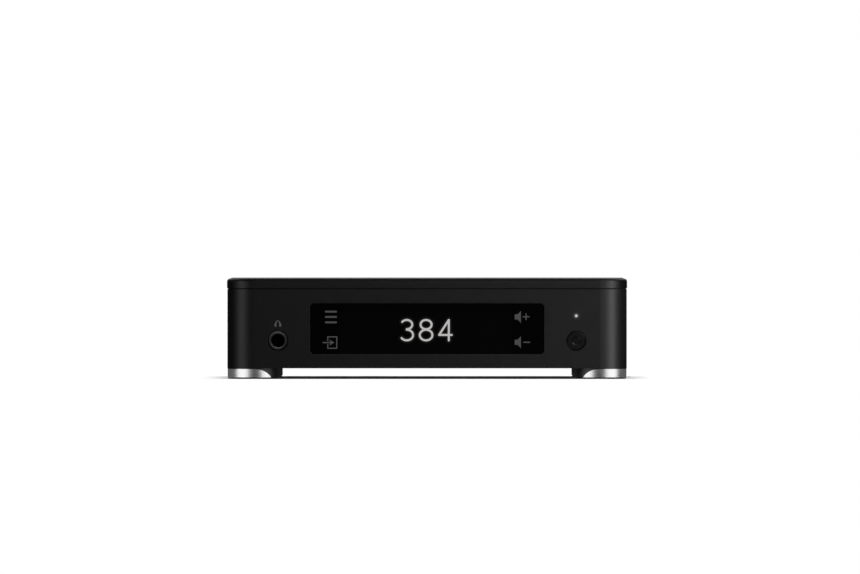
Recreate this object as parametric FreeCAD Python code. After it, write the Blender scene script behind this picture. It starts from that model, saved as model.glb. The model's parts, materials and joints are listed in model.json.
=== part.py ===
import FreeCAD, Part
import math
import os

# Desktop digital-to-analogue converter, in millimetres.
# +X is the viewer's right, +Y points to the back and +Z up.
# The origin is on the table, under the middle of the bounding box.

V = FreeCAD.Vector
RIGHT = V(1, 0, 0)
BACKWARD = V(0, 1, 0)
UP = V(0, 0, 1)

# ---- driving dimensions ----
WIDTH = 200.0  # top cover, left to right
DEPTH = 200.0  # top cover, front to back
FOOT_R = 13.25
FOOT_INSET = 0.15  # foot's side, inside the body's side
PAD_H = 0.6  # rubber under each foot
FOOT_H = 4.7
BODY_H = 39.6
GROOVE_H = 0.4  # shadow gap between body and cover, filled by a gasket
GROOVE_IN = 0.5  # gasket's outer side, inside the cover's side
GASKET_W = 2.9
COVER_H = 4.75
COVER_ROUND = 1.5  # rounding of the cover's top edge
COVER_POCKET = 2.8  # hollow machined into the cover's underside
BODY_INSET = 0.2  # the body is this much inside the cover all round
BODY_CORNER = FOOT_R + FOOT_INSET  # plan radius: each foot is concentric with its corner
CORNER = BODY_CORNER + BODY_INSET  # plan radius of the cover's corners
EDGE_BREAK = 0.12  # chamfer on the body's top edge and round the display window
REAR_REACH = 9.0  # how far the rear sockets stand out behind the cover

FRONT_WALL = 4.0
SIDE_WALL = 3.5
BASE_T = 2.0
BASE_LIP = 2.0  # wall left outside the base plate
FIT_GAP = 0.2  # gap round the base plate
REAR_T = 2.5  # rear panel
REAR_HALF_W = 86.2
FRONT_BLOCK_X = 82.3  # inner faces of the corner blocks
REAR_BLOCK_X = 77.0
BLOCK_Y = 22.0  # corner block, front to back
REAR_SCREW_X = 81.5
SCREW_GAP = 0.05  # between a screw and its hole

# ---- levels and planes that follow from them ----
BODY_BOTTOM = PAD_H + FOOT_H
BASE_TOP = BODY_BOTTOM + BASE_T
BODY_TOP = BODY_BOTTOM + BODY_H
COVER_BOTTOM = BODY_TOP + GROOVE_H
TOP = COVER_BOTTOM + COVER_H
FRONT = -(DEPTH + REAR_REACH) / 2
BACK = FRONT + DEPTH
FACE = FRONT + BODY_INSET  # the body's front face
REAR = BACK - BODY_INSET  # the body's rear face
HALF_W = WIDTH / 2
BODY_HALF_W = HALF_W - BODY_INSET
WALL_BACK = FACE + FRONT_WALL  # inner side of the front wall

# ---- feet ----
SHOE_ARC_R = 11.4  # arc that parts the silver shoe from the black core
SHOE_ARC_FROM = -10.0  # where the arc is level, outward of the foot's axis
SHOE_ARC_DROP = 0.35  # the arc's top, below the body
PAD_R = 12.9
PAD_HOLE_R = 4.0
FOOT_X = BODY_HALF_W - FOOT_INSET - FOOT_R
FOOT_Y = [FACE + FOOT_INSET + FOOT_R, REAR - FOOT_INSET - FOOT_R]
FOOT_SCREW = {"shank_r": 1.5, "head_r": 2.75, "head_h": 1.7, "length": 14.0}
FOOT_SCREW_LIFT = 1.3  # underside of the screw's head, above the table

# ---- display ----
GLASS_HALF_W = 58.5
GLASS_BOTTOM = 12.3
GLASS_TOP = 37.7
GLASS_R = 2.0
GLASS_RECESS = 0.4
GLASS_T = 2.0
TAPE_T = 0.3  # adhesive behind the glass
LEDGE = 2.5
DISPLAY_Z = (GLASS_BOTTOM + GLASS_TOP) / 2
PANEL_W = 88.0
PANEL_H = 27.8
TOUCH_X = [43.0, 55.0]
TOUCH_HALF_H = 10.2
BRACKET_HALF_W = 64.5
BRACKET_HALF_H = 15.5
BRACKET_BOSS = [61.5, 13.0]  # half spacings of the bracket's screws
BRACKET_Y = WALL_BACK + 4.0
BRACKET_T = 1.2
BOSS_R = 2.2
SMALL_SCREW = {"shank_r": 1.0, "head_r": 1.9, "head_h": 1.2, "length": 6.0}
SMALL_HOLE_R = SMALL_SCREW["shank_r"] + SCREW_GAP

# ---- controls ----
CONTROL_Z = 19.0  # height of the socket and the button
JACK_X = -74.5
BUTTON_X = 74.5
LIGHT_Z = 31.5
JACK_BORE_R = 3.3
JACK_BUSHING_R = 4.7
JACK_BUSHING_L = 6.2
JACK_PROUD = 0.15  # the socket's nose, in front of the panel
JACK_RECESS_W = 0.5  # open ring round the socket's nose
JACK_RECESS_D = 0.8
JACK_BODY = [15.0, 24.0, 15.9]
JACK_DEPTH = 28.0
BUTTON_R = 4.55
BUTTON_HOLE_R = 4.85
BUTTON_PROUD = 0.2  # the button's face, in front of the panel
BUTTON_FLANGE_R = 6.0
BUTTON_DIMPLE_R = 2.05
BUTTON_DIMPLE_DEPTH = 0.3
PLUNGER_R = 1.45
PLUNGER_HOLE_R = 1.5
SWITCH_FACE = FACE + 9.6
SWITCH_SIZE = 7.0
SWITCH_T = 5.0
BOARD_T = 1.6
CONTROL_BOARD_Y = SWITCH_FACE + SWITCH_T
CONTROL_BOSSES = [[68.5, 11.8], [68.5, 38.5]]
LIGHT_R = 0.8

# ---- inside ----
BOARD_TOP = CONTROL_Z - JACK_BODY[2] / 2
BOARD_BOTTOM = BOARD_TOP - BOARD_T
MAIN_X = [-76.5, 16.0]
TONGUE_X = [-82.0, -65.5]  # part of the board that reaches forward under the headphone socket
MAIN_Y = [FACE + 12.0, REAR - REAR_T - 0.5]
SUPPLY_X = [24.0, 84.0]
SUPPLY_Y = [2.0, 62.0]
TIE_X = 91.5
TIE_Y = [-60.0, -4.5, 51.0]
TIE_FLATS = 6.0
BASE_SCREW = {"shank_r": 1.5, "head_r": 2.9, "head_h": 1.4, "length": 9.0}
BOARD_SCREW = {"shank_r": 1.25, "head_r": 2.4, "head_h": 1.5, "length": 5.0}
MAIN_FIXINGS = [[-71, -66], [-71, 0], [-71, 66], [10, -84], [10, 0], [10, 30]]
SUPPLY_FIXINGS = [[28, 6], [80, 6], [28, 58], [80, 58]]
COIL_X = 50.0
COIL_Y = -44.0
COIL_R = 33.0
COIL_HOLE_R = 11.0
COIL_H = 30.0
COIL_BOTTOM = BASE_TOP + 1.0
COIL_BOLT_R = 2.5

# ---- rear sockets ----
OUTPUT_X = [-67.0, -47.0]
COAX_X = -28.0
OPTICAL_X = -11.0
DATA_X = 6.0
INLET_X = 54.0
INLET_Z = 25.0
RCA_Z = 24.0
RCA_R = 4.15
RCA_BORE_R = 3.6
RCA_FLANGE_R = 6.2
RCA_FLANGE_T = 1.2
RCA_L = REAR_REACH + BODY_INSET
OPTICAL_HALF_W = 6.5
OPTICAL_H = 11.4
OPTICAL_IN = 14.0  # into the body
OPTICAL_OUT = 1.0  # out of the rear panel
SHUTTER_Z = BOARD_TOP + 9.95
SHUTTER_Y = REAR - 0.2
SHUTTER_T = 0.8
SHUTTER_PIN_R = 0.45
DATA_HALF_W = 6.0
DATA_H = 11.1
DATA_MOUTH_HALF_W = 4.3
DATA_MOUTH_Z = [BOARD_TOP + 1.6, BOARD_TOP + 9.5]
INLET_HALF = [13.6, 9.8]
INLET_FLANGE_HALF = [15.4, 12.0]
INLET_FLANGE_T = 2.5
INLET_IN = 24.0
INLET_CAVITY_HALF = [12.0, 8.2]
INLET_CAVITY_IN = 15.0
BLADES = [[-7.0, -3.0], [7.0, -3.0], [0.0, 3.0]]


# ---- shape helpers ----
def block(x, y, z):
    """A box from three [low, high] pairs."""
    corner = V(x[0], y[0], z[0])
    return Part.makeBox(x[1] - x[0], y[1] - y[0], z[1] - z[0], corner)


def rounded(x, y, z, radius, axis="Z"):
    """A box whose four edges along one axis are rounded."""
    direction = {"X": RIGHT, "Y": BACKWARD, "Z": UP}[axis]
    solid = block(x, y, z)
    edges = [e for e in solid.Edges if abs(e.tangentAt(e.FirstParameter).dot(direction)) > 0.99]
    return solid.makeFillet(radius, edges)


def rod(radius, x, y, z, length, axis=BACKWARD):
    """A cylinder from a start point along an axis."""
    return Part.makeCylinder(radius, length, V(x, y, z), axis)


def cone(radius_a, radius_b, x, y, z, length, axis=BACKWARD):
    return Part.makeCone(radius_a, radius_b, length, V(x, y, z), axis)


def tube(outer, inner, x, y, z, length, axis=BACKWARD):
    return rod(outer, x, y, z, length, axis).cut(rod(inner, x, y, z, length, axis))


def join(solids):
    """One solid from several that meet."""
    return solids[0].multiFuse(solids[1:]).removeSplitter()


def remove(solid, tools):
    return solid.cut(Part.makeCompound(tools))


def group(solids):
    """Separate pieces of the same kind, kept together in one node."""
    return Part.makeCompound(solids)


def edges_at(solid, z):
    """The edges that lie wholly at one height."""
    return [e for e in solid.Edges if abs(e.BoundBox.ZMin - z) < 1e-6 and abs(e.BoundBox.ZMax - z) < 1e-6]


def edges_in(solid, y):
    """The edges that lie wholly in one upright plane, from the smallest outwards."""
    flat = [e for e in solid.Edges if abs(e.BoundBox.YMin - y) < 1e-6 and abs(e.BoundBox.YMax - y) < 1e-6]
    return sorted(flat, key=lambda e: e.BoundBox.XLength)


def shrunk(span, margin):
    """A [low, high] pair brought in at both ends."""
    return [span[0] + margin, span[1] - margin]


def around(middle, half):
    """A [low, high] pair about its middle."""
    return [middle - half, middle + half]


def mirrored_x(values):
    return [-value for value in reversed(values)]


def screw(size, x, y, z, axis):
    """A pan-head screw: z is the outer side of its head and axis points along its shank."""
    head = Part.makeCylinder(size["head_r"], size["head_h"], V(x, y, z), axis)
    rim = [e for e in head.Edges if (e.CenterOfMass - V(x, y, z)).Length < 1e-6]
    head = head.makeFillet(size["head_h"] * 0.4, rim[:1])
    socket = Part.makeCylinder(size["shank_r"] * 0.7, size["head_h"] * 0.6, V(x, y, z), axis)
    under = V(x, y, z) + axis * size["head_h"]
    shank = Part.makeCylinder(size["shank_r"], size["length"] - size["head_h"], under, axis)
    return head.cut(socket).fuse(shank).removeSplitter()


# ---- enclosure ----
def cover():
    x = [-HALF_W, HALF_W]
    y = [FRONT, BACK]
    plate = rounded(x, y, [COVER_BOTTOM, TOP], CORNER)
    plate = plate.makeFillet(COVER_ROUND, edges_at(plate, TOP))
    margin = 8.0
    pocket_z = [COVER_BOTTOM, COVER_BOTTOM + COVER_POCKET]
    pocket = rounded(shrunk(x, margin), shrunk(y, margin), pocket_z, CORNER / 2)
    bosses = [rod(5.5, side * TIE_X, ty, COVER_BOTTOM, COVER_POCKET, UP) for side in (-1, 1) for ty in TIE_Y]
    return plate.cut(remove(pocket, bosses))


def cover_gasket():
    """Flat dark seal that lies in the gap between the body and the cover."""
    rings = []
    for inset in (GROOVE_IN, GROOVE_IN + GASKET_W):
        x = shrunk([-HALF_W, HALF_W], inset)
        rings.append(rounded(x, shrunk([FRONT, BACK], inset), [BODY_TOP, COVER_BOTTOM], CORNER - inset))
    return rings[0].cut(rings[1])


def front_openings():
    """Everything cut through the front wall: window, socket, button and light."""
    window_x = [-GLASS_HALF_W, GLASS_HALF_W]
    pocket_depth = GLASS_RECESS + GLASS_T + TAPE_T
    pocket = rounded(window_x, [FACE - 1, FACE + pocket_depth], [GLASS_BOTTOM, GLASS_TOP], GLASS_R, "Y")
    window = rounded(
        [window_x[0] + LEDGE, window_x[1] - LEDGE],
        [FACE, WALL_BACK + 1],
        [GLASS_BOTTOM + LEDGE, GLASS_TOP - LEDGE],
        1.0,
        "Y",
    )
    rim_x = [window_x[0] - EDGE_BREAK, window_x[1] + EDGE_BREAK]
    rim_z = [GLASS_BOTTOM - EDGE_BREAK, GLASS_TOP + EDGE_BREAK]
    rim = rounded(rim_x, [FACE - 1, FACE + EDGE_BREAK], rim_z, GLASS_R + EDGE_BREAK, "Y")
    rim = rim.makeChamfer(EDGE_BREAK * 0.99, edges_in(rim, FACE + EDGE_BREAK))
    cuts = [pocket, window, rim]
    for x, z, radius, depth, edge in (
        (JACK_X, CONTROL_Z, JACK_BUSHING_R + 0.05, FRONT_WALL + 1, 0.0),
        (JACK_X, CONTROL_Z, JACK_BUSHING_R + JACK_RECESS_W, JACK_RECESS_D, 0.15),
        (BUTTON_X, CONTROL_Z, BUTTON_HOLE_R, FRONT_WALL + 1, 0.2),
        (BUTTON_X, LIGHT_Z, LIGHT_R + SCREW_GAP, FRONT_WALL + 1, 0.1),
    ):
        cuts.append(rod(radius, x, FACE - 1, z, depth + 1))
        if edge:
            cuts.append(cone(radius + edge, radius, x, FACE, z, edge))
    return cuts


def front_bosses():
    """Pillars behind the front wall that carry the display bracket and the control board."""
    ends = [(x, z, BRACKET_Y) for x, z in bracket_fixings()]
    ends += [(x, z, CONTROL_BOARD_Y) for x, z in CONTROL_BOSSES]
    return [tube(BOSS_R, SMALL_HOLE_R, x, WALL_BACK, z, y - WALL_BACK) for x, z, y in ends]


def corner_blocks():
    blocks = []
    for start, y in ((FRONT_BLOCK_X, [FACE, FACE + BLOCK_Y]), (REAR_BLOCK_X, [REAR - BLOCK_Y, REAR])):
        for x in ([-BODY_HALF_W, -start], [start, BODY_HALF_W]):
            blocks.append(block(x, y, [BODY_BOTTOM - 1, BODY_TOP + 1]))
    return blocks


def base_space(gap):
    """The space of the base plate, made smaller all round by a gap."""
    x = BODY_HALF_W - BASE_LIP - gap
    y = [FACE + BASE_LIP + gap, REAR - REAR_T - gap]
    return rounded([-x, x], y, [BODY_BOTTOM, BASE_TOP], BODY_CORNER - BASE_LIP - gap)


def chassis():
    outer = rounded([-BODY_HALF_W, BODY_HALF_W], [FACE, REAR], [BODY_BOTTOM, BODY_TOP], BODY_CORNER)
    outer = outer.makeChamfer(EDGE_BREAK, edges_at(outer, BODY_TOP))
    inner_x = BODY_HALF_W - SIDE_WALL
    cavity = block([-inner_x, inner_x], [WALL_BACK, REAR + 1], [BODY_BOTTOM - 1, BODY_TOP + 1])
    walls = outer.cut(remove(cavity, corner_blocks()))
    panel_space = block(
        [-REAR_HALF_W - 0.15, REAR_HALF_W + 0.15], [REAR - REAR_T, REAR + 1], [BODY_BOTTOM - 1, BODY_TOP + 1]
    )
    holes = [panel_space, base_space(0)] + front_openings()
    hole_r = FOOT_SCREW["shank_r"] + SCREW_GAP
    for side in (-1, 1):
        for y in FOOT_Y:
            holes.append(rod(hole_r, side * FOOT_X, y, BASE_TOP - 1, 12, UP))
        for z in rear_screw_levels():
            holes.append(rod(hole_r, side * REAR_SCREW_X, REAR - REAR_T - 8, z, 9))
    walls = remove(walls, holes)
    for boss in front_bosses():
        walls = walls.fuse(boss)
    return walls.removeSplitter()


def vent_slots():
    slots = []
    slot_l = 26.0
    pitch = 6.5
    for centre_x, centre_y in ((-34.0, 40.0), (-34.0, -40.0)):
        for step in range(-4, 5):
            x = centre_x + step * pitch
            y = [centre_y - slot_l / 2, centre_y + slot_l / 2]
            slots.append(rounded([x - 1.25, x + 1.25], y, [BODY_BOTTOM - 1, BASE_TOP + 1], 1.2))
    return slots


def base_plate():
    cuts = vent_slots()
    for side in (-1, 1):
        for y in FOOT_Y:
            cuts.append(rod(FOOT_SCREW["shank_r"] + SCREW_GAP, side * FOOT_X, y, BODY_BOTTOM - 1, 4, UP))
        for y in TIE_Y:
            cuts.append(rod(BASE_SCREW["shank_r"] + SCREW_GAP, side * TIE_X, y, BODY_BOTTOM - 1, 4, UP))
            head_space = BASE_SCREW["head_h"] + 0.1
            cuts.append(rod(BASE_SCREW["head_r"] + 0.1, side * TIE_X, y, BODY_BOTTOM, head_space, UP))
    for x, y in MAIN_FIXINGS + SUPPLY_FIXINGS:
        cuts.append(rod(1.5 + SCREW_GAP, x, y, BODY_BOTTOM - 1, 4, UP))
    cuts.append(rod(COIL_BOLT_R + SCREW_GAP, COIL_X, COIL_Y, BODY_BOTTOM - 1, 4, UP))
    return remove(base_space(FIT_GAP), cuts)


def tie_post(x, y):
    """One hexagonal pillar from the base plate to the cover, tapped at its foot."""
    corner_r = TIE_FLATS / math.sqrt(3)
    angles = [math.radians(60 * k) for k in range(7)]
    points = [V(x + corner_r * math.cos(a), y + corner_r * math.sin(a), BASE_TOP) for a in angles]
    post = Part.Face(Part.makePolygon(points)).extrude(UP * (COVER_BOTTOM - BASE_TOP))
    return post.cut(rod(BASE_SCREW["shank_r"] + SCREW_GAP, x, y, BASE_TOP, 12, UP))


def tie_posts():
    return group([tie_post(side * TIE_X, y) for side in (-1, 1) for y in TIE_Y])


def base_screws():
    return group([screw(BASE_SCREW, side * TIE_X, y, BODY_BOTTOM, UP) for side in (-1, 1) for y in TIE_Y])


def rear_screw_levels():
    return [BODY_BOTTOM + 5.5, BODY_TOP - 5.5]


def rear_panel():
    gap = 0.2
    panel = block([-REAR_HALF_W, REAR_HALF_W], [REAR - REAR_T, REAR], [BODY_BOTTOM + gap, BODY_TOP - gap])
    start = REAR - REAR_T - 1
    reach = REAR_T + 2
    cuts = [rod(RCA_R + 0.75, x, start, RCA_Z, reach) for x in OUTPUT_X + [COAX_X]]
    optical_x = [OPTICAL_X - OPTICAL_HALF_W - 0.1, OPTICAL_X + OPTICAL_HALF_W + 0.1]
    cuts.append(block(optical_x, [start, REAR + 1], [BOARD_TOP - 0.1, BOARD_TOP + OPTICAL_H + 0.1]))
    data_x = [DATA_X - DATA_HALF_W - 0.1, DATA_X + DATA_HALF_W + 0.1]
    cuts.append(block(data_x, [start, REAR + 1], [BOARD_TOP - 0.1, BOARD_TOP + DATA_H + 0.1]))
    inlet_x = [INLET_X - INLET_HALF[0] - 0.1, INLET_X + INLET_HALF[0] + 0.1]
    inlet_z = [INLET_Z - INLET_HALF[1] - 0.1, INLET_Z + INLET_HALF[1] + 0.1]
    cuts.append(block(inlet_x, [start, REAR + 1], inlet_z))
    for side in (-1, 1):
        for z in rear_screw_levels():
            cuts.append(rod(1.5 + SCREW_GAP, side * REAR_SCREW_X, start, z, reach))
    return remove(panel, cuts)


def rear_screws():
    size = {"shank_r": 1.5, "head_r": 2.8, "head_h": 1.5, "length": 9.0}
    places = [(side * REAR_SCREW_X, z) for side in (-1, 1) for z in rear_screw_levels()]
    return group([screw(size, x, REAR + size["head_h"], z, -BACKWARD) for x, z in places])


# ---- feet ----
def foot_places():
    """Name, centre and the plan direction from the foot to the middle of the object."""
    places = {}
    for end, y, inward_y in (("front", FOOT_Y[0], 1), ("rear", FOOT_Y[1], -1)):
        for side, x, inward_x in (("left", -FOOT_X, 1), ("right", FOOT_X, -1)):
            places[end + "_" + side] = (x, y, V(inward_x, inward_y, 0).normalize())
    return places


def foot_round(x, y):
    """The whole foot: a short upright cylinder with its screw hole."""
    whole = rod(FOOT_R, x, y, PAD_H, FOOT_H, UP)
    whole = whole.makeChamfer(0.15, edges_at(whole, PAD_H))
    head = rod(FOOT_SCREW["head_r"] + 0.2, x, y, PAD_H, FOOT_SCREW_LIFT + FOOT_SCREW["head_h"] - PAD_H, UP)
    shank = rod(FOOT_SCREW["shank_r"] + SCREW_GAP, x, y, PAD_H, FOOT_H, UP)
    return whole.cut(head).cut(shank)


def shoe_cut(x, y, inward):
    """The space under the arc, swept across the foot's diagonal."""
    across = V(-inward.y, inward.x, 0)
    level = V(x, y, 0) + inward * SHOE_ARC_FROM - across * 20
    arc_z = BODY_BOTTOM - SHOE_ARC_DROP - SHOE_ARC_R
    wheel = Part.makeCylinder(SHOE_ARC_R, 40, level + UP * arc_z, across)
    corner = level - inward * 10
    outer = Part.Face(
        Part.makePolygon(
            [
                corner - UP * 5,
                level - UP * 5,
                level + UP * (arc_z + SHOE_ARC_R),
                corner + UP * (arc_z + SHOE_ARC_R),
                corner - UP * 5,
            ]
        )
    ).extrude(across * 40)
    return wheel.fuse(outer).removeSplitter()


def foot_shoe(x, y, inward):
    return foot_round(x, y).common(shoe_cut(x, y, inward))


def foot_core(x, y, inward):
    return foot_round(x, y).cut(shoe_cut(x, y, inward))


def foot_pads():
    return group([tube(PAD_R, PAD_HOLE_R, x, y, 0, PAD_H, UP) for x, y, _ in foot_places().values()])


def foot_screws():
    return group([screw(FOOT_SCREW, x, y, FOOT_SCREW_LIFT, UP) for x, y, _ in foot_places().values()])


# ---- display ----
def display_glass():
    gap = 0.1
    x = [-GLASS_HALF_W + gap, GLASS_HALF_W - gap]
    y = [FACE + GLASS_RECESS, FACE + GLASS_RECESS + GLASS_T]
    return rounded(x, y, [GLASS_BOTTOM + gap, GLASS_TOP - gap], GLASS_R - gap, "Y")


def touch_boards():
    start = FACE + GLASS_RECESS + GLASS_T
    z = [DISPLAY_Z - TOUCH_HALF_H, DISPLAY_Z + TOUCH_HALF_H]
    sides = (TOUCH_X, mirrored_x(TOUCH_X))
    return group([rounded(x, [start, start + 1.2], z, 1.0, "Y") for x in sides])


def display_panel():
    start = WALL_BACK + 0.15
    x = [-PANEL_W / 2, PANEL_W / 2]
    return block(x, [start, start + 2.0], [DISPLAY_Z - PANEL_H / 2, DISPLAY_Z + PANEL_H / 2])


def display_board():
    start = WALL_BACK + 2.15
    x = [-PANEL_W / 2, PANEL_W / 2]
    return block(x, [start, start + 1.2], [DISPLAY_Z - PANEL_H / 2, DISPLAY_Z + PANEL_H / 2])


def bracket_fixings():
    """Where the display bracket's four screws go."""
    half_x, half_z = BRACKET_BOSS
    return [(side * half_x, DISPLAY_Z + level * half_z) for side in (-1, 1) for level in (-1, 1)]


def display_bracket():
    y = [BRACKET_Y, BRACKET_Y + BRACKET_T]
    plate = rounded([-BRACKET_HALF_W, BRACKET_HALF_W], y, around(DISPLAY_Z, BRACKET_HALF_H), 2.0, "Y")
    cuts = [rod(SMALL_HOLE_R, x, BRACKET_Y, z, BRACKET_T) for x, z in bracket_fixings()]
    cuts += [rounded(around(x, 7), y, around(DISPLAY_Z, 7), 2.0, "Y") for x in (-22, 0, 22)]
    return remove(plate, cuts)


def front_screws():
    """The screws of the display bracket and of the control board."""
    head_h = SMALL_SCREW["head_h"]
    places = [(x, BRACKET_Y + BRACKET_T + head_h, z) for x, z in bracket_fixings()]
    places += [(x, CONTROL_BOARD_Y + BOARD_T + head_h, z) for x, z in CONTROL_BOSSES]
    return group([screw(SMALL_SCREW, x, y, z, -BACKWARD) for x, y, z in places])


def display_ribbon():
    """Flat flexible cable from the display board's lower edge to the main board."""
    thick = 0.3
    half = 7.0
    behind = BRACKET_Y + BRACKET_T + 1.0
    low = BOARD_TOP + 2.0
    turn = 2.0
    down = block([-half, half], [behind, behind + thick], [low + turn, DISPLAY_Z])
    flat = block([-half, half], [behind + turn, behind + 18], [low, low + thick])
    hub = V(-half, behind + turn, low + turn)
    bend = tube(turn, turn - thick, *hub, 2 * half, RIGHT)
    keep = block([-half, half], [behind, behind + turn], [low, low + turn])
    return join([down, bend.common(keep), flat])


# ---- power button and light ----
def power_cap():
    front = FACE - BUTTON_PROUD
    barrel = rod(BUTTON_R, BUTTON_X, front, CONTROL_Z, FRONT_WALL + BUTTON_PROUD + 0.1)
    barrel = barrel.makeFillet(0.3, edges_in(barrel, front))
    flange = rod(BUTTON_FLANGE_R, BUTTON_X, WALL_BACK + 0.1, CONTROL_Z, 1.0)
    neck = rod(2.6, BUTTON_X, WALL_BACK + 1.1, CONTROL_Z, 2.4)
    socket = rod(PLUNGER_R, BUTTON_X, WALL_BACK + 0.5, CONTROL_Z, 3.0)
    dimple = rod(BUTTON_DIMPLE_R, BUTTON_X, front, CONTROL_Z, BUTTON_DIMPLE_DEPTH)
    dimple = dimple.makeFillet(BUTTON_DIMPLE_DEPTH * 0.8, edges_in(dimple, front + BUTTON_DIMPLE_DEPTH))
    dimple_rim = cone(BUTTON_DIMPLE_R + 0.15, BUTTON_DIMPLE_R, BUTTON_X, front, CONTROL_Z, 0.1)
    return remove(join([barrel, flange, neck]), [socket, dimple, dimple_rim])


def power_plunger():
    start = WALL_BACK + 0.5
    return rod(PLUNGER_R, BUTTON_X, start, CONTROL_Z, SWITCH_FACE + 2.2 - start)


def power_switch():
    half = SWITCH_SIZE / 2
    x = [BUTTON_X - half, BUTTON_X + half]
    z = [CONTROL_Z - half, CONTROL_Z + half]
    housing = rounded(x, [SWITCH_FACE, SWITCH_FACE + SWITCH_T], z, 0.6, "Y")
    return housing.cut(rod(PLUNGER_HOLE_R, BUTTON_X, SWITCH_FACE, CONTROL_Z, 4.0))


def power_spring():
    """Return spring between the cap's flange and the switch."""
    wire_r = 0.15
    coil_r = 3.1
    start = WALL_BACK + 1.1 + wire_r + 0.02
    length = SWITCH_FACE - wire_r - 0.02 - start
    helix = Part.makeHelix(length / 5, length, coil_r)
    section = Part.Wire(Part.makeCircle(wire_r, V(coil_r, 0, 0), V(0, 1, 0)))
    coil = Part.Wire(helix).makePipeShell([section], True, True)
    coil.rotate(V(0, 0, 0), RIGHT, -90)
    return coil.translated(V(BUTTON_X, start, CONTROL_Z))


def control_board():
    board = block([65, 81.8], [CONTROL_BOARD_Y, CONTROL_BOARD_Y + BOARD_T], [9.5, 41])
    return remove(board, [rod(1.0 + SCREW_GAP, x, CONTROL_BOARD_Y, z, BOARD_T) for x, z in CONTROL_BOSSES])


def status_led():
    return block(around(BUTTON_X, 0.8), [CONTROL_BOARD_Y - 0.7, CONTROL_BOARD_Y], around(LIGHT_Z, 0.5))


def light_pipe():
    lens = rod(LIGHT_R, BUTTON_X, FACE, LIGHT_Z, FRONT_WALL)
    collar = rod(1.8, BUTTON_X, WALL_BACK, LIGHT_Z, 1.2)
    tail = rod(1.2, BUTTON_X, WALL_BACK, LIGHT_Z, CONTROL_BOARD_Y - 1.0 - WALL_BACK)
    return join([lens, collar, tail])


# ---- headphone socket ----
def jack_bushing():
    """Nose of the socket, with a rounded rim that stands just proud of the panel."""
    front = FACE - JACK_PROUD
    nose = rod(JACK_BUSHING_R, JACK_X, front, CONTROL_Z, JACK_BUSHING_L + JACK_PROUD)
    nose = nose.makeFillet(0.45, edges_in(nose, front))
    bore = rod(JACK_BORE_R, JACK_X, front, CONTROL_Z, JACK_BUSHING_L + JACK_PROUD)
    mouth = cone(JACK_BORE_R + 0.3, JACK_BORE_R, JACK_X, front, CONTROL_Z, 0.3)
    return remove(nose, [bore, mouth])


def jack_body():
    half_x = JACK_BODY[0] / 2
    half_z = JACK_BODY[2] / 2
    start = FACE + JACK_BUSHING_L
    x = [JACK_X - half_x, JACK_X + half_x]
    body = block(x, [start, start + JACK_BODY[1]], [CONTROL_Z - half_z, CONTROL_Z + half_z])
    return body.cut(rod(JACK_BORE_R + 0.2, JACK_X, start, CONTROL_Z, JACK_DEPTH - JACK_BUSHING_L))


def jack_contacts():
    """Solder tags down the two sides of the socket, through the board."""
    tags = []
    for side in (-1, 1):
        for reach in (10.0, 18.0, 26.0):
            x = sorted([JACK_X + side * (JACK_BODY[0] / 2 - 1.6), JACK_X + side * (JACK_BODY[0] / 2 - 1.0)])
            y = [FACE + reach - 0.8, FACE + reach + 0.8]
            tags.append(block(x, y, [BOARD_BOTTOM - 1.2, BOARD_BOTTOM]))
    return group(tags)


# ---- main board ----
def board_with_holes(solid, fixings):
    hole_r = BOARD_SCREW["shank_r"] + SCREW_GAP
    return remove(solid, [rod(hole_r, x, y, BOARD_BOTTOM - 1, BOARD_T + 2, UP) for x, y in fixings])


def main_board():
    z = [BOARD_BOTTOM, BOARD_TOP]
    tongue = block(TONGUE_X, [FACE + 6.4, MAIN_Y[0] + 20], z)
    return board_with_holes(join([block(MAIN_X, MAIN_Y, z), tongue]), MAIN_FIXINGS)


def board_standoffs():
    """Pillars pressed into the base plate under both boards."""
    posts = []
    for x, y in MAIN_FIXINGS + SUPPLY_FIXINGS:
        foot = rod(1.5, x, y, BODY_BOTTOM + 0.3, BASE_TOP - BODY_BOTTOM - 0.3, UP)
        post = rod(2.5, x, y, BASE_TOP, BOARD_BOTTOM - BASE_TOP, UP)
        posts.append(join([foot, post]).cut(rod(1.25 + SCREW_GAP, x, y, BASE_TOP - 1, 5, UP)))
    return group(posts)


def board_screws():
    top = BOARD_TOP + BOARD_SCREW["head_h"]
    return group([screw(BOARD_SCREW, x, y, top, -UP) for x, y in MAIN_FIXINGS + SUPPLY_FIXINGS])


def chip(x, y, side, height):
    half = side / 2
    return rounded([x - half, x + half], [y - half, y + half], [BOARD_TOP, BOARD_TOP + height], 0.4)


def can(x, y, radius, height):
    body = rod(radius, x, y, BOARD_TOP, height, UP)
    return body.makeFillet(0.8, edges_at(body, BOARD_TOP + height))


def converter_chip():
    return chip(-40, 12, 10, 1.2)


def receiver_chip():
    return chip(-2, 56, 14, 1.4)


def amplifier_chips():
    return group([chip(x, y, 5, 1.6) for x in (-64, -54) for y in (28, 40)])


def board_capacitors():
    return group([can(x, y, 5.0, 16.0) for x in (-62, -48, -34) for y in (-54, -40, -26)])


def output_relays():
    relays = []
    for x in OUTPUT_X:
        relays.append(rounded([x - 3.75, x + 3.75], [46, 61], [BOARD_TOP, BOARD_TOP + 10], 0.5))
    return group(relays)


def shield_can():
    """Thin metal lid over the receiver, open underneath."""
    shell = rounded([-17, 14], [38, 72], [BOARD_TOP, BOARD_TOP + 6], 1.0)
    return shell.cut(block([-16.5, 13.5], [38.5, 71.5], [BOARD_TOP, BOARD_TOP + 5.5]))


# ---- power supply ----
def transformer():
    ring = tube(COIL_R, COIL_HOLE_R, COIL_X, COIL_Y, COIL_BOTTOM, COIL_H, UP)
    rims = edges_at(ring, COIL_BOTTOM) + edges_at(ring, COIL_BOTTOM + COIL_H)
    return ring.makeFillet(6.0, rims)


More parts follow.
